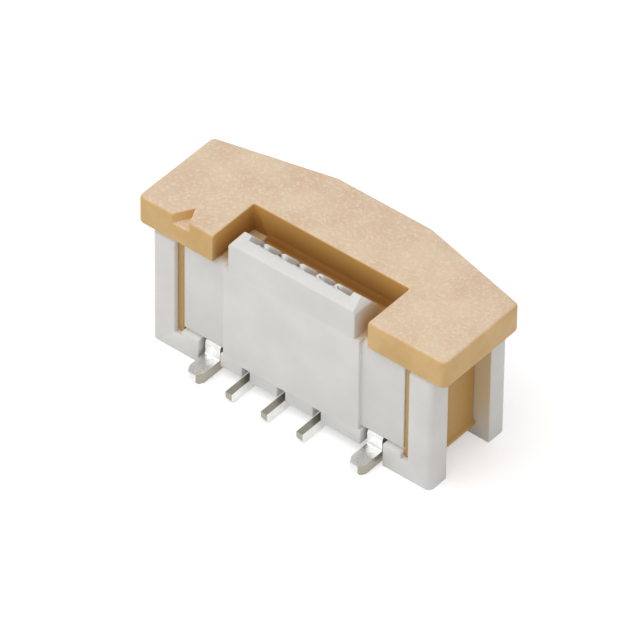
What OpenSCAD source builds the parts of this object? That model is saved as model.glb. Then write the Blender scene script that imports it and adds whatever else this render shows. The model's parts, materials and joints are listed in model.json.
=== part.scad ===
// Upright surface-mount connector for a flexible flat cable.
// A housing with a comb of contact slots, a slider that lifts to free the cable,
// six spring contacts with tails to the front and back in turn, and two fitting nails.
// Millimetres. +X runs along the contact row, +Y to the back, +Z away from the board.
// The origin lies on the board, under the middle of the housing.

/* [Contacts] */
// Number of contacts in the row
contact_count = 6; // [4:1:10]
// Distance from one contact to the next
pitch = 0.5; // [0.45:0.01:0.6]
// Thickness of the sheet that the contacts are blanked from
contact_t = 0.18; // [0.12:0.01:0.22]
// Height of a solder tail
tail_h = 0.28; // [0.22:0.01:0.32]
// Reach of a solder tail beyond the housing
tail_reach = 0.58; // [0.4:0.01:0.7]
// Rounding under the tip of a solder tail
tail_tip_r = 0.16; // [0.05:0.01:0.2]
// Width of the spring arm at its root
arm_w = 0.28; // [0.2:0.01:0.34]
// Height of the contact point above the board
point_z = 1.95; // [1.8:0.01:2.05]
// How far the contact point stands out of the comb
point_reach = 0.06; // [0.02:0.01:0.1]
// Height of the retention leg above the board
leg_top_z = 1.75; // [1.2:0.01:1.9]
// Width of the retention leg
retention_w = 0.36; // [0.28:0.01:0.4]

/* [Cable] */
// Thickness of the cable's stiffened end
cable_t = 0.3; // [0.2:0.01:0.33]
// Cable left over at each side of the outer contacts
cable_margin = 0.5; // [0.45:0.01:0.55]
// Depth of the slot, from the top of the side walls to its floor
slot_depth = 2.25; // [2.1:0.01:2.3]
// Width of the cable entry between the comb and the slider
entry_w = 0.54; // [0.45:0.01:0.6]

/* [Housing] */
// Depth of the housing, front to back
body_d = 2.62; // [2.5:0.01:2.8]
// Height of the side walls, on which the slider rests
wall_z = 3.2; // [3.15:0.01:3.5]
// Length from the outer contact to the end of the housing
end_l = 2.66; // [2.6:0.01:2.9]
// Height of the middle's underside above the board
underside_z = 0.26; // [0.2:0.01:0.3]
// Rounding of the upright corners
corner_r = 0.14; // [0.05:0.01:0.2]
// Bevel along the tops of the walls
top_bevel = 0.13; // [0.05:0.01:0.2]
// Depth by which the front panels lie behind the middle
panel_step = 0.1; // [0.05:0.01:0.15]
// Height of the sill below the front panels
sill_z = 0.64; // [0.55:0.01:0.75]
// Height of the groove along the sill
sill_groove = 0.08; // [0.04:0.01:0.12]
// Length from the outer contact to the side of the proud middle
middle_end = 0.65; // [0.58:0.01:0.7]
// Length from the outer contact to the feet
foot_start = 1.33; // [1.3:0.01:1.4]
// Length of a foot, front to back
foot_d = 0.7; // [0.6:0.01:0.8]

/* [Comb] */
// Height of the crest
crest_z = 4.1; // [4.0:0.01:4.3]
// Height of the front edge of the comb
comb_front_z = 3.96; // [3.85:0.01:4.05]
// Height of the comb's back edge, at the foot of the lead-in slope
comb_back_z = 3.62; // [3.5:0.01:3.8]
// Depth of the comb, front to back
comb_d = 0.83; // [0.75:0.01:0.86]
// Distance of the crest behind the front face
crest_y = 0.4; // [0.35:0.01:0.45]
// Thickness of the web in front of the contact slots
web_t = 0.28; // [0.2:0.01:0.32]
// Width of a tooth between two contact slots
tooth_w = 0.19; // [0.12:0.01:0.22]
// Length from the outer contact to the end of the comb
comb_end = 0.51; // [0.48:0.01:0.55]
// Bevel at the comb's upper corners, along its length
comb_bevel_x = 0.14; // [0.05:0.01:0.18]
// Bevel at the comb's upper corners, along its height
comb_bevel_z = 0.22; // [0.05:0.01:0.3]

/* [Slider] */
// Thickness of the plate
plate_t = 0.75; // [0.6:0.01:0.9]
// Overhang of the plate beyond each end of the housing
plate_end = 0.37; // [0.2:0.01:0.5]
// Overhang of the plate in front of the housing
plate_front = 0.05; // [0.02:0.01:0.1]
// Distance of the plate's back corners from the middle
plate_back = 1.2; // [1.1:0.01:1.3]
// Reach of the grip's flat edge behind the housing
grip_reach = 0.6; // [0.4:0.01:0.8]
// Width of the grip's flat edge
grip_w = 2.6; // [1.6:0.1:4]
// Rounding of the plate's upper edges
rim_r = 0.09; // [0.04:0.01:0.14]
// Rounding of the plate's outer corners
plate_corner_r = 0.16; // [0.1:0.01:0.3]
// Length from the outer contact to the side of the notch
notch_end = 0.91; // [0.8:0.01:1.0]
// Rounding of the notch's upper edge and corners
notch_r = 0.05; // [0.02:0.01:0.08]
// Thickness of the blade that presses on the cable
blade_t = 0.46; // [0.4:0.01:0.52]
// Thickness of a leg
leg_t = 0.38; // [0.3:0.01:0.45]
// Height of the legs' lower ends above the board
leg_z = 0.35; // [0.3:0.01:0.5]
// Reach of the ledge at the bottom of a leg
ledge_reach = 0.07; // [0.03:0.01:0.1]
// Lift of the slider from shut to open
lift = 0.95; // [0.7:0.01:1.05]

/* [End channels] */
// Thickness of the posts in front of and behind a leg
post_t = 0.575; // [0.5:0.005:0.65]
// Depth of the channel behind the housing's end
channel_l = 0.83; // [0.75:0.01:0.95]
// Width of the slit in the front post
slit_w = 0.2; // [0.14:0.01:0.24]
// Height of the slit's lower end
slit_z = 0.49; // [0.4:0.01:0.55]

/* [Fitting nails] */
// Length from the outer contact to the middle of a nail
nail_x = 1.03; // [1.01:0.01:1.05]
// Width of a nail
nail_w = 0.42; // [0.36:0.01:0.46]
// Thickness of a nail's strip
nail_t = 0.28; // [0.22:0.01:0.32]
// Reach of a nail's foot beyond the housing
nail_reach = 0.6; // [0.4:0.01:0.8]
// Height of a nail's blade above the board
nail_top_z = 1.9; // [1.5:0.01:2.4]

/* [Clearances] */
// Running clearance between the slider and the housing
slide_gap = 0.02; // [0.01:0.005:0.03]
// Clearance beside a pressed-in contact or nail
press_gap = 0.02; // [0.01:0.005:0.03]

/* [Hidden] */

over = 0.5; // how far a cut runs past what it cuts
bite = 0.05; // how far joined shapes of one piece overlap
front_y = -body_d / 2;
row_half = (contact_count - 1) * pitch / 2;
body_half = row_half + end_l;
comb_half = row_half + comb_end;
middle_half = row_half + middle_end;
foot_x = row_half + foot_start;
cavity_half = row_half + cable_margin + 0.03;
comb_back_y = front_y + comb_d;
comb_slot_w = pitch - tooth_w;
crest = [front_y + crest_y, crest_z];
floor_z = wall_z - slot_depth;
blade_y = comb_back_y + cable_t + 0.02;
notch_y = comb_back_y + entry_w;
cavity_y = blade_y + blade_t + slide_gap;

channel_x = body_half - channel_l;
channel_half = body_d / 2 - post_t;
slit_x = channel_x + slit_w;
hook_reach = 0.12;
hook_h = 0.24;
hook_half = 0.35;
hook_room = hook_reach + slide_gap;

plate_z = wall_z + slide_gap / 2;
plate_top = plate_z + plate_t;
plate_half = body_half + plate_end;
grip_y = body_d / 2 + grip_reach;

bar_z = underside_z + 0.04;
bar_h = 0.32;
bar_top = bar_z + bar_h;
arm_y = front_y + web_t + 0.05;
arm_top_z = point_z + 0.4;
root_r = 0.14; // rounding between the arm and the bar
retention_y = cavity_y + 0.17;
retention_end = retention_y + retention_w;
contact_slot_w = contact_t + 2 * press_gap;
tail_notch_z = tail_h + 0.28;

panel_y = front_y + panel_step;
panel_z = sill_z + sill_groove;
nail_y = panel_y + 0.02;
nail_bend_z = panel_z - 0.05;
nail_blade_y = nail_y + nail_t;
nail_mid = row_half + nail_x;
nail_side_gap = 0.1;

// Unit vector along v
function unit(v) = v / norm(v);

// Points of an arc about centre c, from angle a to angle b
function arc(c, r, a, b, steps = 5) =
    [for (i = [0:steps]) let(t = a + (b - a) * i / steps) c + r * [cos(t), sin(t)]];

// Corner b between a and c, rounded to radius r
function corner(a, b, c, r, steps) =
    let(
        u = unit(a - b),
        v = unit(c - b),
        half = acos(u * v) / 2,
        centre = b + unit(u + v) * r / sin(half),
        from = b + u * r / tan(half) - centre,
        to = b + v * r / tan(half) - centre,
        start = atan2(from[1], from[0]),
        turn = atan2(to[1], to[0]) - start,
        sweep = turn > 180 ? turn - 360 : turn < -180 ? turn + 360 : turn
    )
    arc(centre, r, start, start + sweep, steps);

// Outline through the given corners, each a list of a point and its radius
function rounded(corners, steps = 4) =
    let(n = len(corners))
    [for (i = [0:n - 1])
        each corner(corners[(i + n - 1) % n][0], corners[i][0], corners[(i + 1) % n][0], corners[i][1], steps)];

// Anticlockwise outline moved inwards by d
function inset(outline, d) =
    let(n = len(outline))
    [for (i = [0:n - 1])
        let(
            e = unit(outline[i] - outline[(i + n - 1) % n]),
            f = unit(outline[(i + 1) % n] - outline[i]),
            m = [-e[1], e[0]],
            k = [-f[1], f[0]]
        )
        outline[i] + d * (m + k) / (1 + m * k)];

// Solid through rings of equal length, from the first to the last
module loft(rings) {
    n = len(rings[0]);
    last = (len(rings) - 1) * n;
    bottom = [for (i = [0:n - 1]) i];
    top = [for (i = [n - 1:-1:0]) last + i];
    sides = [for (k = [0:len(rings) - 2], i = [0:n - 1])
        [k * n + i, (k + 1) * n + i, (k + 1) * n + (i + 1) % n, k * n + (i + 1) % n]];
    polyhedron([for (ring = rings) each ring], concat([bottom, top], sides));
}

// Rings of an outline, moved inwards and up by the steps given
function rings(outline, z, steps) =
    [for (s = steps) [for (p = inset(outline, s[0])) [p[0], p[1], z + s[1]]]];

// Runs a (y, z) outline along X
module along_x(from, to) {
    translate([from, 0, 0])
        rotate([90, 0, 90])
            linear_extrude(to - from)
                children();
}

// Runs an (x, z) outline along Y
module along_y(from, to) {
    translate([0, to, 0])
        rotate([90, 0, 0])
            linear_extrude(to - from)
                children();
}

// Box between two opposite corners
module box(low, high) {
    translate(low)
        cube(high - low);
}

// Rectangle between two opposite corners
module rect(low, high) {
    translate(low)
        square(high - low);
}

// The right-hand child and its mirror image on the left
module both_ends() {
    children();
    mirror([1, 0, 0])
        children();
}

// Wedge that bevels an upper edge running along X, facing -Y at y
module top_wedge(x0, x1, y) {
    along_x(x0, x1)
        polygon([
            [y - over, wall_z - top_bevel - over],
            [y + top_bevel + over, wall_z + over],
            [y - over, wall_z + over]
        ]);
}

function contact_x(i) = (i - (contact_count + 1) / 2) * pitch;
function tail_in_front(i) = i % 2 == 1;

// ---- Housing ----

module housing_block() {
    outline = rounded([
        [[-body_half, front_y], corner_r],
        [[body_half, front_y], corner_r],
        [[body_half, -front_y], corner_r],
        [[-body_half, -front_y], corner_r]
    ]);
    linear_extrude(wall_z)
        polygon(outline);
}

module comb_outline() {
    low_z = wall_z - bite;
    polygon([
        [front_y, low_z],
        [front_y, comb_front_z],
        crest,
        [comb_back_y, comb_back_z],
        [comb_back_y, low_z]
    ]);
}

// Web and end walls of the comb, bevelled at their upper corners
module comb_frame() {
    low_z = wall_z - bite;
    intersection() {
        along_x(-comb_half, comb_half)
            comb_outline();
        along_y(front_y - over, comb_back_y + over)
            polygon([
                [-comb_half, low_z],
                [comb_half, low_z],
                [comb_half, crest_z - comb_bevel_z],
                [comb_half - comb_bevel_x, crest_z],
                [-comb_half + comb_bevel_x, crest_z],
                [-comb_half, crest_z - comb_bevel_z]
            ]);
    }
}

// Tooth with a rounded back, following the comb's outline
module tooth() {
    r = tooth_w / 2;
    start_y = front_y + web_t - bite;
    start_z = comb_front_z + (crest_z - comb_front_z) * (web_t - bite) / crest_y;
    soft = 0.06;
    spine = [
        [start_y, start_z],
        crest + soft * unit([start_y, start_z] - crest),
        crest - [0, soft / 3],
        crest + soft * unit([comb_back_y, comb_back_z] - crest),
        [comb_back_y, comb_back_z]
    ];
    loft([for (p = spine)
        concat(
            [[-r, p[0], wall_z - bite]],
            [for (q = arc([0, p[1] - r], r, 180, 0, 8)) [q[0], p[0], q[1]]],
            [[r, p[0], wall_z - bite]]
        )]);
}

module comb() {
    inner = row_half + comb_slot_w / 2;
    difference() {
        comb_frame();
        box([-inner, front_y + web_t, wall_z], [inner, comb_back_y + over, crest_z + over]);
    }
    for (i = [1:contact_count - 1])
        translate([contact_x(i) + pitch / 2, 0, 0])
            tooth();
}

module comb_slots() {
    for (i = [1:contact_count])
        box(
            [contact_x(i) - comb_slot_w / 2, front_y + web_t, floor_z],
            [contact_x(i) + comb_slot_w / 2, comb_back_y + bite, wall_z + bite]
        );
}

module cable_cavity() {
    box([-cavity_half, comb_back_y, floor_z], [cavity_half, cavity_y, crest_z + over]);
}

// Slot that a contact is pressed into from below
module contact_cavity(in_front) {
    back = retention_end + press_gap;
    notch = in_front ? [front_y - over, arm_y] : [retention_end, -front_y + over];
    along_x(-contact_slot_w / 2, contact_slot_w / 2) {
        rect([arm_y - press_gap, -over], [back, bar_top + press_gap]);
        rect([arm_y - press_gap, 0], [arm_y + arm_w + root_r + press_gap, floor_z + bite]);
        rect([retention_y - press_gap, 0], [back, leg_top_z + press_gap]);
        rect([notch[0], -over], [notch[1], tail_notch_z]);
    }
}

module underside() {
    box([-foot_x, front_y - over, -over], [foot_x, -front_y + over, underside_z]);
    box([-body_half - over, front_y + foot_d, -over], [body_half + over, -front_y - foot_d, underside_z]);
}

// Recessed panel beside the middle, with the groove along its sill
module front_panel() {
    box([middle_half, front_y - over, sill_z], [channel_x, panel_y, wall_z + over]);
    box([middle_half, front_y, sill_z], [channel_x, panel_y + sill_groove, panel_z]);
    top_wedge(middle_half, channel_x, panel_y);
}

module nail_opening() {
    half = nail_w / 2;
    box(
        [nail_mid - half - nail_side_gap, front_y - over, -over],
        [nail_mid + half + nail_side_gap, nail_blade_y, panel_z]
    );
    box(
        [nail_mid - half - press_gap, nail_blade_y - bite, -over],
        [nail_mid + half + press_gap, nail_blade_y + nail_t + press_gap, nail_top_z + press_gap]
    );
}

// Channel that a leg of the slider runs in, open at the end and below
module end_channel() {
    box([channel_x, -channel_half, -over], [body_half + over, channel_half, wall_z + over]);
    box([channel_x, front_y - over, slit_z], [slit_x, -channel_half + bite, wall_z + over]);
    box(
        [channel_x - hook_room, -hook_half - slide_gap, -over],
        [channel_x + bite, hook_half + slide_gap, leg_z + hook_h + lift + slide_gap]
    );
}

module wall_bevels() {
    top_wedge(slit_x, body_half + over, front_y);
    rotate([0, 0, 180])
        top_wedge(-body_half - over, body_half + over, front_y);
}

module housing() {
    color("whitesmoke")
        difference() {
            union() {
                housing_block();
                comb();
            }
            cable_cavity();
            comb_slots();
            for (i = [1:contact_count])
                translate([contact_x(i), 0, 0])
                    contact_cavity(tail_in_front(i));
            underside();
            both_ends() {
                front_panel();
                nail_opening();
                end_channel();
                wall_bevels();
            }
        }
}

// ---- Slider ----

// Plate with rounded upper edges and a small bevel below
module slider_plate() {
    front = front_y - plate_front;
    outline = rounded([
        [[-plate_half, front], plate_corner_r],
        [[plate_half, front], plate_corner_r],
        [[plate_half, plate_back], plate_corner_r],
        [[grip_w / 2, grip_y], plate_corner_r],
        [[-grip_w / 2, grip_y], plate_corner_r],
        [[-plate_half, plate_back], plate_corner_r]
    ]);
    bevel = 0.03;
    rim = arc([rim_r, plate_t - rim_r], rim_r, 180, 90);
    loft(rings(outline, plate_z, concat([[bevel, 0], [0, bevel]], rim)));
}

// Space around the comb, open to the front, with a rounded rim
module plate_notch() {
    front = front_y - plate_front - over;
    half = row_half + notch_end;
    outline = rounded([
        [[-half, front], notch_r],
        [[half, front], notch_r],
        [[half, notch_y], notch_r],
        [[-half, notch_y], notch_r]
    ]);
    rim = [for (p = arc([notch_r, plate_t - notch_r], notch_r, 180, 90)) [-p[0], p[1]]];
    loft(rings(outline, plate_z, concat([[0, -over]], rim, [[-notch_r, plate_t + over]])));
}

// Blade that presses the cable on the contacts
module blade() {
    half = cavity_half - slide_gap;
    tip_z = floor_z + 0.1;
    back = blade_y + blade_t;
    along_x(-half, half)
        polygon([
            [notch_y, plate_z + 0.3],
            [notch_y, plate_z + 0.1],
            [blade_y, plate_z - 0.25],
            [blade_y, tip_z + 0.55],
            [blade_y + 0.28, tip_z],
            [back - 0.06, tip_z],
            [back, tip_z + 0.06],
            [back, plate_z + 0.3]
        ]);
}

module leg() {
    inner = channel_x + slide_gap;
    outer = inner + leg_t;
    toe = outer + ledge_reach;
    half = channel_half - slide_gap;
    along_y(-half, half)
        polygon([
            [inner, plate_z + bite],
            [inner, leg_z],
            [toe, leg_z],
            [toe, leg_z + 0.08],
            [outer, leg_z + 0.14],
            [outer, plate_z + bite]
        ]);
    along_y(-hook_half, hook_half)
        polygon([
            [inner + bite, leg_z],
            [inner - 0.02, leg_z],
            [inner - hook_reach, leg_z + 0.14],
            [inner - hook_reach, leg_z + hook_h],
            [inner + bite, leg_z + hook_h]
        ]);
}

// Rib that guides the slider in the slit of the front post
module guide_rib() {
    box(
        [channel_x + slide_gap, panel_y + slide_gap, slit_z + slide_gap],
        [slit_x - slide_gap, -channel_half + bite, plate_z + bite]
    );
}

// Three-cornered mark by contact 1
module pin_mark() {
    front = front_y - plate_front;
    middle = -row_half - 1.81;
    translate([0, 0, plate_top - 0.25])
        linear_extrude(plate_t)
            polygon([[middle - 0.27, front - bite], [middle + 0.27, front - bite], [middle + 0.03, front + 0.475]]);
}

module slider() {
    color("burlywood")
        difference() {
            union() {
                difference() {
                    slider_plate();
                    plate_notch();
                }
                blade();
                both_ends() {
                    leg();
                    guide_rib();
                }
            }
            pin_mark();
        }
}

// ---- Contacts ----

// Spring arm, base bar and retention leg, seen from the side
module fork_outline() {
    back = arm_y + arm_w;
    point_y = comb_back_y + point_reach;
    polygon(concat(
        [[arm_y, bar_z], [retention_end, bar_z]],
        [[retention_end, leg_top_z - 0.5], [retention_end + press_gap, leg_top_z - 0.4]],
        [[retention_end, leg_top_z - 0.38], [retention_end, leg_top_z - 0.2]],
        [[retention_end + press_gap, leg_top_z - 0.1], [retention_end - 0.06, leg_top_z]],
        [[retention_y + 0.06, leg_top_z], [retention_y, leg_top_z - 0.08], [retention_y, bar_top]],
        arc([back + root_r, bar_top + root_r], root_r, 270, 180),
        [[back - 0.02, point_z - 0.3]],
        arc([point_y - 0.08, point_z], 0.08, -45, 45),
        [[back - 0.08, point_z + 0.25]],
        arc([back - 0.14, arm_top_z - 0.06], 0.06, 0, 180),
        [[arm_y + 0.06, arm_top_z - 0.2]]
    ));
}

// Outline of a tail soldered to the board, from the fork's edge at root_y towards -Y
function tail_points(root_y) =
    let(
        tip_y = front_y - tail_reach,
        bend = 0.08,
        bend_y = root_y + bite / 2 - bend
    )
    concat(
        [[tip_y, tail_h]],
        arc([tip_y + tail_tip_r, tail_tip_r], tail_tip_r, 180, 270),
        [[bend_y, 0], [root_y + 2 * bend, bar_z + bite], [root_y + 2 * bite, bar_top - bite]],
        arc([bend_y, tail_h + bend], bend, 0, -90)
    );

// The same outline turned to leave towards +Y, in the opposite order
function turned(outline) = [for (i = [len(outline) - 1:-1:0]) [-outline[i][0], outline[i][1]]];

module contact(i) {
    tail = tail_in_front(i) ? tail_points(arm_y) : turned(tail_points(-retention_end));
    color("silver")
        translate([contact_x(i), 0, 0])
            along_x(-contact_t / 2, contact_t / 2) {
                fork_outline();
                polygon(tail);
            }
}

// ---- Fitting nails ----

// Strip bent four ways, seen from the side: foot, riser, shoulder and blade
module nail_outline() {
    toe = front_y - nail_reach;
    bend = 0.1;
    back = nail_blade_y + nail_t;
    polygon(concat(
        [[toe, nail_t]],
        arc([toe + bend, bend], bend, 180, 270),
        arc([nail_blade_y - bend, bend], bend, 270, 360),
        [[nail_blade_y, nail_bend_z - nail_t]],
        arc([back - bend, nail_bend_z - nail_t + bend], bend, 270, 360),
        [[back, nail_top_z - 0.1], [back - 0.05, nail_top_z], [nail_blade_y + 0.05, nail_top_z]],
        [[nail_blade_y, nail_top_z - 0.1], [nail_blade_y, nail_bend_z]],
        arc([nail_y + bend, nail_bend_z - bend], bend, 90, 180),
        arc([nail_y - bend / 2, nail_t + bend / 2], bend / 2, 0, -90)
    ));
}

// Sides of the foot, drawn in towards its tip, seen from above
module nail_plan() {
    toe = front_y - nail_reach;
    half = nail_w / 2;
    polygon([
        [-half + 0.1, toe],
        [half - 0.1, toe],
        [half, toe + 0.18],
        [half, -front_y],
        [-half, -front_y],
        [-half, toe + 0.18]
    ]);
}

module fitting_nail() {
    translate([nail_mid, 0, 0])
        intersection() {
            along_x(-nail_w / 2, nail_w / 2)
                nail_outline();
            linear_extrude(nail_top_z)
                nail_plan();
        }
}

module fitting_nail_left() {
    color("lightgray")
        mirror([1, 0, 0])
            fitting_nail();
}

module fitting_nail_right() {
    color("lightgray")
        fitting_nail();
}

housing();
slider();
for (i = [1:contact_count])
    contact(i);
fitting_nail_left();
fitting_nail_right();
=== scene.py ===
import json
import math

import bpy
from mathutils import Matrix, Vector

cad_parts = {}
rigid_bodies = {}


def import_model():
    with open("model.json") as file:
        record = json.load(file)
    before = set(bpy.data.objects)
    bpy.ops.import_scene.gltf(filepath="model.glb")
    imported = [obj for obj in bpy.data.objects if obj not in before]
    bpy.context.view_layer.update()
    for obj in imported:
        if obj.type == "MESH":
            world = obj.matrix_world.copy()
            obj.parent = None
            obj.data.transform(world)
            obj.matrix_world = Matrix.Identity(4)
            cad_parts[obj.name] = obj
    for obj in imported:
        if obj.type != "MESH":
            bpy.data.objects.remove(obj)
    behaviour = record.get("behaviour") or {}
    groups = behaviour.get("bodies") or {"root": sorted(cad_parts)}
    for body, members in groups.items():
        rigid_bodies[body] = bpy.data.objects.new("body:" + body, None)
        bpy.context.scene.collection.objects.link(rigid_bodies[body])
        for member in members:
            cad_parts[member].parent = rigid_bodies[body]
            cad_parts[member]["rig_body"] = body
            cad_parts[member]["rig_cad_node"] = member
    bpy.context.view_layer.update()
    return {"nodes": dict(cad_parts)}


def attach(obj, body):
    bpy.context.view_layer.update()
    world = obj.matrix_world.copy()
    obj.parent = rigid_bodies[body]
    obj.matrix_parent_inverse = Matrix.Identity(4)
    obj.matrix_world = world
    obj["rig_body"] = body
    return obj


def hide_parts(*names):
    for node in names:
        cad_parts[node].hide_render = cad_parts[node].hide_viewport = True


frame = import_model()
mm = 0.001

print("stage: camera and light")

cameraSettings = {
    "target": (-0.034 * mm, -0.255 * mm, 2.0 * mm),
    "azimuth": 38.8,  # degrees to the right of the front
    "elevation": 41.9,
    "roll": 0.74,
    "distance": 194 * mm,
    "lens": 503.0,
    "sensor": 36.0,
    "clipStart": 0.005,
    "clipEnd": 20.0,
}


def aimedAt(obj, place, target, roll=0.0):
    look = (Vector(target) - Vector(place)).to_track_quat("-Z", "Y").to_matrix()
    obj.location = place
    obj.rotation_euler = (look @ Matrix.Rotation(math.radians(roll), 3, "Z")).to_euler()


def fromAngles(azimuth, elevation, distance, target):
    a, e = math.radians(azimuth), math.radians(elevation)
    back = Vector((math.sin(a) * math.cos(e), -math.cos(a) * math.cos(e), math.sin(e)))
    return Vector(target) + back * distance


def makeCamera(s):
    data = bpy.data.cameras.new("camera")
    data.lens = s["lens"]
    data.sensor_width = s["sensor"]
    data.clip_start = s["clipStart"]
    data.clip_end = s["clipEnd"]
    camera = bpy.data.objects.new("camera", data)
    bpy.context.scene.collection.objects.link(camera)
    place = fromAngles(s["azimuth"], s["elevation"], s["distance"], s["target"])
    aimedAt(camera, place, s["target"], s["roll"])
    bpy.context.scene.camera = camera


makeCamera(cameraSettings)

# Round softboxes; angles as the camera's, sizes in metres and power in watts
lampTarget = (0, 0, 2.0 * mm)
lampSettings = [
    {"name": "topSoftbox", "azimuth": -25, "elevation": 66,
     "distance": 0.16, "size": 0.14, "power": 0.09},
    {"name": "frontFill", "azimuth": -8, "elevation": 22,
     "distance": 0.2, "size": 0.16, "power": 0.012},
]


def makeLamp(s):
    data = bpy.data.lights.new(s["name"], "AREA")
    data.shape = "DISK"
    data.size = s["size"]
    data.energy = s["power"]
    lamp = bpy.data.objects.new(s["name"], data)
    bpy.context.scene.collection.objects.link(lamp)
    place = fromAngles(s["azimuth"], s["elevation"], s["distance"], lampTarget)
    aimedAt(lamp, place, lampTarget)


for lamp in lampSettings:
    makeLamp(lamp)


def addNode(tree, kind, **values):
    node = tree.nodes.new("ShaderNode" + kind)
    for key, value in values.items():
        setattr(node, key, value)
    return node


# 1 for a ray from the camera, off a gloss or through glass, else 0
def seenRay(tree):
    path = addNode(tree, "LightPath")
    total = path.outputs["Is Camera Ray"]
    for name in ("Is Glossy Ray", "Is Transmission Ray"):
        add = addNode(tree, "Math", operation="ADD", use_clamp=True)
        tree.links.new(total, add.inputs[0])
        tree.links.new(path.outputs[name], add.inputs[1])
        total = add.outputs[0]
    return total


# The strength of the white surroundings, as seen and as light on the object
worldSettings = {"seen": 1.0, "light": 0.6}


def makeWorld(s):
    world = bpy.data.worlds.new("studio")
    bpy.context.scene.world = world
    world.use_nodes = True
    tree = world.node_tree
    tree.nodes.clear()
    mix = addNode(tree, "MixShader")
    tree.links.new(seenRay(tree), mix.inputs[0])
    for strength, socket in ((s["light"], mix.inputs[1]), (s["seen"], mix.inputs[2])):
        background = addNode(tree, "Background")
        background.inputs["Color"].default_value = (1, 1, 1, 1)
        background.inputs["Strength"].default_value = strength
        tree.links.new(background.outputs[0], socket)
    tree.links.new(mix.outputs[0], addNode(tree, "OutputWorld").inputs[0])


makeWorld(worldSettings)

# The glow is only seen, so that the floor looks white and still holds a shadow
floorSettings = {"size": 0.8, "shade": 0.8, "glow": 0.45}


def makeFloor(s):
    bpy.ops.object.select_all(action="DESELECT")
    bpy.ops.mesh.primitive_plane_add(size=s["size"], location=(0, 0, 0))
    floor = bpy.context.object
    floor.name = "floor"
    material = bpy.data.materials.new("paleFloor")
    material.use_nodes = True
    tree = material.node_tree
    tree.nodes.clear()
    diffuse = addNode(tree, "BsdfDiffuse")
    diffuse.inputs["Color"].default_value = (s["shade"], s["shade"], s["shade"], 1)
    scale = addNode(tree, "Math", operation="MULTIPLY")
    scale.inputs[1].default_value = s["glow"]
    tree.links.new(seenRay(tree), scale.inputs[0])
    glow = addNode(tree, "Emission")
    tree.links.new(scale.outputs[0], glow.inputs["Strength"])
    add = addNode(tree, "AddShader")
    tree.links.new(diffuse.outputs[0], add.inputs[0])
    tree.links.new(glow.outputs[0], add.inputs[1])
    tree.links.new(add.outputs[0], addNode(tree, "OutputMaterial").inputs[0])
    floor.data.materials.append(material)


makeFloor(floorSettings)

print("stage: materials")


def noise(tree, scale, detail=3.0, roughness=0.55):
    where = addNode(tree, "TexCoord")
    texture = addNode(tree, "TexNoise")
    texture.inputs["Scale"].default_value = scale
    texture.inputs["Detail"].default_value = detail
    texture.inputs["Roughness"].default_value = roughness
    tree.links.new(where.outputs["Object"], texture.inputs["Vector"])
    return texture.outputs["Fac"]


# One axis of the place on the piece, or of its normal; mirrored, both sides count alike
def coordinate(tree, axis, mirrored=False, source="Object"):
    where = addNode(tree, "TexCoord")
    split = addNode(tree, "SeparateXYZ")
    tree.links.new(where.outputs[source], split.inputs[0])
    if not mirrored:
        return split.outputs[axis]
    absolute = addNode(tree, "Math", operation="ABSOLUTE")
    tree.links.new(split.outputs[axis], absolute.inputs[0])
    return absolute.outputs[0]


def ramp(tree, value, low, high, bottom=0.0, top=1.0):
    node = addNode(tree, "MapRange")
    limits = {"From Min": low, "From Max": high, "To Min": bottom, "To Max": top}
    for name, number in limits.items():
        node.inputs[name].default_value = number
    tree.links.new(value, node.inputs["Value"])
    return node.outputs[0]


def product(tree, *values):
    result = values[0]
    for value in values[1:]:
        node = addNode(tree, "Math", operation="MULTIPLY")
        tree.links.new(result, node.inputs[0])
        tree.links.new(value, node.inputs[1])
        result = node.outputs[0]
    return result


# Sockets 6 and 7 of a Mix node and its output 2 are the ones for colours
def mixed(tree, factor, first, second):
    node = addNode(tree, "Mix", data_type="RGBA")
    tree.links.new(factor, node.inputs[0])
    for value, socket in ((first, node.inputs[6]), (second, node.inputs[7])):
        if isinstance(value, tuple):
            socket.default_value = (*value, 1)
        else:
            tree.links.new(value, socket)
    return node.outputs[2]


def startMaterial(name):
    material = bpy.data.materials.new(name)
    material.use_nodes = True
    return material, material.node_tree, material.node_tree.nodes["Principled BSDF"]


def addSubsurface(shader, weight, radius, scale):
    shader.inputs["Subsurface Weight"].default_value = weight
    shader.inputs["Subsurface Radius"].default_value = radius
    shader.inputs["Subsurface Scale"].default_value = scale


def addBump(tree, shader, height, distance, strength):
    bump = addNode(tree, "Bump")
    bump.inputs["Strength"].default_value = strength
    bump.inputs["Distance"].default_value = distance
    tree.links.new(height, bump.inputs["Height"])
    tree.links.new(bump.outputs[0], shader.inputs["Normal"])


# Each pair below runs from where a ramp begins to where it ends
clouds = (0.35, 0.65)
grains = (0.3, 0.7)

# White moulded plastic; painted amber bounce light and shade where the slider's colour is
# thrown back on it
housingFinish = {
    "light": (0.82, 0.81, 0.785),
    "dull": (0.765, 0.755, 0.725),
    "notchBounceTint": (0.62, 0.42, 0.17),
    "postBounceTint": (0.72, 0.56, 0.30),
    "cloudScale": 900.0,
    "grainScale": 26000.0,
    "grainDetail": 2.0,
    "roughness": (0.38, 0.52),
    "bump": {"distance": 0.003 * mm, "strength": 0.25},
    "subsurface": {"weight": 0.12, "radius": (1.0, 0.9, 0.75), "scale": 0.12 * mm},
    # Painted amber bounce light and shade beside the comb, in the slider's notch
    "notchFloor": (3.12 * mm, 3.19 * mm),
    "notchHeight": (4.0 * mm, 3.4 * mm),
    "combEnd": (1.68 * mm, 1.765 * mm),
    "notchDepth": (-1.27 * mm, -0.95 * mm),
    "notchWarmth": (0.15, 0.9),
    # Painted amber bounce light in the end channels, on the posts beside a leg
    "postFace": (0.76 * mm, 0.738 * mm),
    "channelStart": (3.05 * mm, 3.12 * mm),
    "postHeight": (0.1 * mm, 1.4 * mm),
    "postWarmth": (0.1, 0.8),
}


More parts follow.
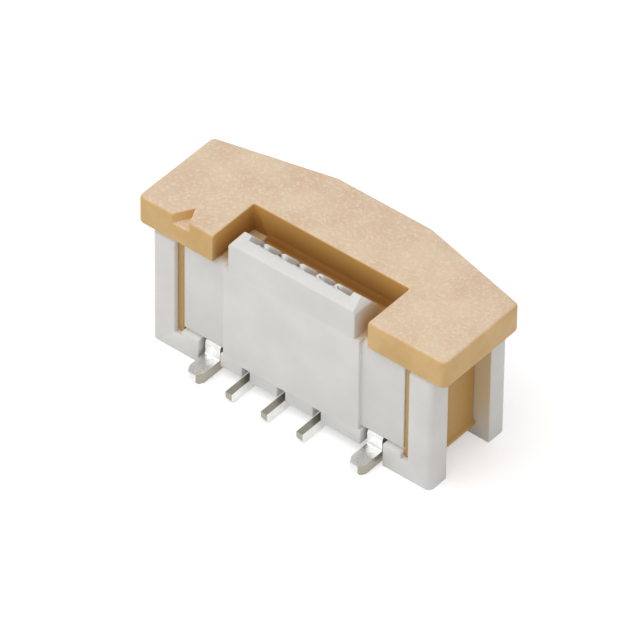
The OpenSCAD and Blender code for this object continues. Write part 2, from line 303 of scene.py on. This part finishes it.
def makeHousingMaterial(f):
    material, tree, shader = startMaterial("whitePlastic")
    cloud = ramp(tree, noise(tree, f["cloudScale"]), *clouds)
    color = mixed(tree, cloud, f["light"], f["dull"])
    # Painted amber bounce light and shade on the housing beside the comb, in the slider's
    # notch
    notchBounceMask = product(
        tree,
        ramp(tree, coordinate(tree, "Z"), *f["notchFloor"]),
        ramp(tree, coordinate(tree, "Z"), *f["notchHeight"]),
        ramp(tree, coordinate(tree, "X", mirrored=True), *f["combEnd"]),
        ramp(tree, coordinate(tree, "Y"), *f["notchDepth"], *f["notchWarmth"]),
    )
    color = mixed(tree, notchBounceMask, color, f["notchBounceTint"])
    # Painted amber bounce light on the posts beside the slider's legs
    postBounceMask = product(
        tree,
        ramp(tree, coordinate(tree, "Y", mirrored=True), *f["postFace"]),
        ramp(tree, coordinate(tree, "X", mirrored=True), *f["channelStart"]),
        ramp(tree, coordinate(tree, "Z"), *f["postHeight"], *f["postWarmth"]),
    )
    color = mixed(tree, postBounceMask, color, f["postBounceTint"])
    tree.links.new(color, shader.inputs["Base Color"])
    grain = noise(tree, f["grainScale"], f["grainDetail"])
    tree.links.new(ramp(tree, grain, *grains, *f["roughness"]), shader.inputs["Roughness"])
    addSubsurface(shader, **f["subsurface"])
    addBump(tree, shader, grain, **f["bump"])
    return material


# Natural amber plastic; the top is spark-eroded and painted lighter and paler for the light
# and sheen on it, with painted glints; the sides are smoother and deeper in colour
sliderFinish = {
    "top": (0.80, 0.62, 0.43),
    "topPink": (0.74, 0.53, 0.36),
    "paintedTopGlint": (0.88, 0.74, 0.56),
    "side": (0.78, 0.52, 0.22),
    "sideDeep": (0.68, 0.42, 0.15),
    "notch": (0.66, 0.36, 0.10),
    "notchPaintedShade": (0.33, 0.13, 0.02),
    "leg": (0.58, 0.34, 0.10),
    "cloudScale": 1100.0,
    "cloudDetail": 4.0,
    "speckScale": 14000.0,
    "speckDetail": 3.0,
    "speckRoughness": 0.7,
    "specks": (0.48, 0.72),
    "grainScale": 24000.0,
    "grainDetail": 3.0,
    "grainRoughness": 0.7,
    "roughness": (0.36, 0.56),
    "bump": {"distance": 0.006 * mm, "strength": 0.45},
    "subsurface": {"weight": 0.15, "radius": (1.0, 0.55, 0.2), "scale": 0.15 * mm},
    # Inside the notch, painted shade: darker and more saturated further down and further in
    "notchHalf": (2.175 * mm, 2.165 * mm),
    "notchBack": (0.075 * mm, 0.065 * mm),
    "notchFront": (-1.345 * mm, -1.2 * mm),
    "notchShade": (0.35, 1.0),
    "notchHeight": (3.85 * mm, 3.2 * mm),
    # Below the plate come the legs, painted darker as shade under the plate, and what faces
    # up on the plate is its top
    "plateBottom": (3.19 * mm, 3.1 * mm),
    "plateTop": (3.6 * mm, 3.7 * mm),
    "facesUp": (0.55, 0.9),
}


def makeSliderMaterial(f):
    material, tree, shader = startMaterial("amberPlastic")
    cloud = ramp(tree, noise(tree, f["cloudScale"], f["cloudDetail"]), *clouds)
    speck = noise(tree, f["speckScale"], f["speckDetail"], f["speckRoughness"])
    height = coordinate(tree, "Z")
    side = mixed(tree, cloud, f["side"], f["sideDeep"])
    inNotch = product(
        tree,
        ramp(tree, coordinate(tree, "X", mirrored=True), *f["notchHalf"]),
        ramp(tree, coordinate(tree, "Y"), *f["notchBack"]),
        ramp(tree, coordinate(tree, "Y"), *f["notchFront"], *f["notchShade"]),
    )
    # Painted shade in the notch, darker further down
    notchDepth = ramp(tree, height, *f["notchHeight"])
    side = mixed(tree, inNotch, side, mixed(tree, notchDepth, f["notch"], f["notchPaintedShade"]))
    # Painted shade on the legs below the plate
    side = mixed(tree, ramp(tree, height, *f["plateBottom"]), side, f["leg"])
    top = mixed(tree, cloud, f["top"], f["topPink"])
    # Painted glints: the specks on the top get a lighter colour
    top = mixed(tree, ramp(tree, speck, *f["specks"]), top, f["paintedTopGlint"])
    # Painted light: faces turned up on the plate get the top colour, lighter as lit
    onTop = product(
        tree,
        ramp(tree, coordinate(tree, "Z", source="Normal"), *f["facesUp"]),
        ramp(tree, height, *f["plateTop"]),
    )
    tree.links.new(mixed(tree, onTop, side, top), shader.inputs["Base Color"])
    tree.links.new(ramp(tree, speck, *grains, *f["roughness"]), shader.inputs["Roughness"])
    addSubsurface(shader, **f["subsurface"])
    grain = noise(tree, f["grainScale"], f["grainDetail"], f["grainRoughness"])
    addBump(tree, shader, grain, **f["bump"])
    return material


# Tin plating: bright on the rolled faces; the sheared faces get a painted dark reflection of
# the shaded housing
tinFinish = {
    "bright": (0.86, 0.86, 0.85),
    "cloudy": (0.74, 0.74, 0.72),
    "shearedDarkReflection": (0.40, 0.38, 0.32),
    "cloudScale": 5000.0,
    "lineScale": 30000.0,
    "lineDetail": 2.0,
    "roughness": (0.24, 0.42),
    "bump": {"distance": 0.002 * mm, "strength": 0.3},
}

# A contact's rolled faces look along X, and a nail's look away from it
rolledFaces = {"contactTin": (0.4, 0.8), "nailTin": (0.8, 0.4)}


def makeTin(name, f):
    material, tree, shader = startMaterial(name)
    cloud = ramp(tree, noise(tree, f["cloudScale"]), *clouds)
    color = mixed(tree, cloud, f["bright"], f["cloudy"])
    facing = coordinate(tree, "X", mirrored=True, source="Normal")
    # Painted dark reflection on the sheared faces
    color = mixed(tree, ramp(tree, facing, *rolledFaces[name]), f["shearedDarkReflection"], color)
    tree.links.new(color, shader.inputs["Base Color"])
    lines = noise(tree, f["lineScale"], f["lineDetail"])
    tree.links.new(ramp(tree, lines, *grains, *f["roughness"]), shader.inputs["Roughness"])
    shader.inputs["Metallic"].default_value = 1.0
    addBump(tree, shader, lines, **f["bump"])
    return material


housingMaterial = makeHousingMaterial(housingFinish)
sliderMaterial = makeSliderMaterial(sliderFinish)
contactMaterial = makeTin("contactTin", tinFinish)
nailMaterial = makeTin("nailTin", tinFinish)

print("stage: housing and slider")

# Edges that turn by more than the angle are rounded; angles in degrees
edgeSettings = {
    "width": 0.02 * mm,
    "segments": 2,
    "angle": 30,
    "weld": 1e-7,
    "flatWithin": 0.6,
    "smoothWithin": 35,
}


def roundedCopy(node, name, s):
    bpy.ops.object.select_all(action="DESELECT")
    source = frame["nodes"][node]
    source.select_set(True)
    bpy.context.view_layer.objects.active = source
    bpy.ops.object.duplicate()
    piece = bpy.context.object
    piece.name = name
    piece.data.name = name
    piece.parent = None
    bpy.ops.object.mode_set(mode="EDIT")
    bpy.ops.mesh.select_all(action="SELECT")
    bpy.ops.mesh.remove_doubles(threshold=s["weld"])
    bpy.ops.mesh.dissolve_limited(angle_limit=math.radians(s["flatWithin"]))
    bpy.ops.object.mode_set(mode="OBJECT")
    # The copy is a new piece, so it drops what marks the source as a CAD node
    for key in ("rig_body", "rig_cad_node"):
        if key in piece:
            del piece[key]
    bevel = piece.modifiers.new("edges", "BEVEL")
    bevel.width = s["width"]
    bevel.segments = s["segments"]
    bevel.limit_method = "ANGLE"
    bevel.angle_limit = math.radians(s["angle"])
    bevel.use_clamp_overlap = False
    bevel.miter_outer = "MITER_ARC"
    bpy.ops.object.modifier_apply(modifier="edges")
    bpy.ops.object.shade_smooth_by_angle(angle=math.radians(s["smoothWithin"]))
    print(name, len(piece.data.vertices), len(piece.data.polygons))
    return piece


mouldedPieces = [
    # node, body and material
    ("housing", "housing", housingMaterial),
    ("slider", "slider", sliderMaterial),
]

for node, body, material in mouldedPieces:
    piece = roundedCopy(node, node + "Body", edgeSettings)
    piece.data.materials.clear()
    piece.data.materials.append(material)
    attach(piece, body)
    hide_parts(node)

print("stage: contacts and nails")

for node, cadObject in frame["nodes"].items():
    if node.startswith(("contact", "fitting")):
        cadObject.data.materials.clear()
        isContact = node.startswith("contact")
        cadObject.data.materials.append(contactMaterial if isContact else nailMaterial)

scene = bpy.context.scene
scene.view_settings.view_transform = "Standard"
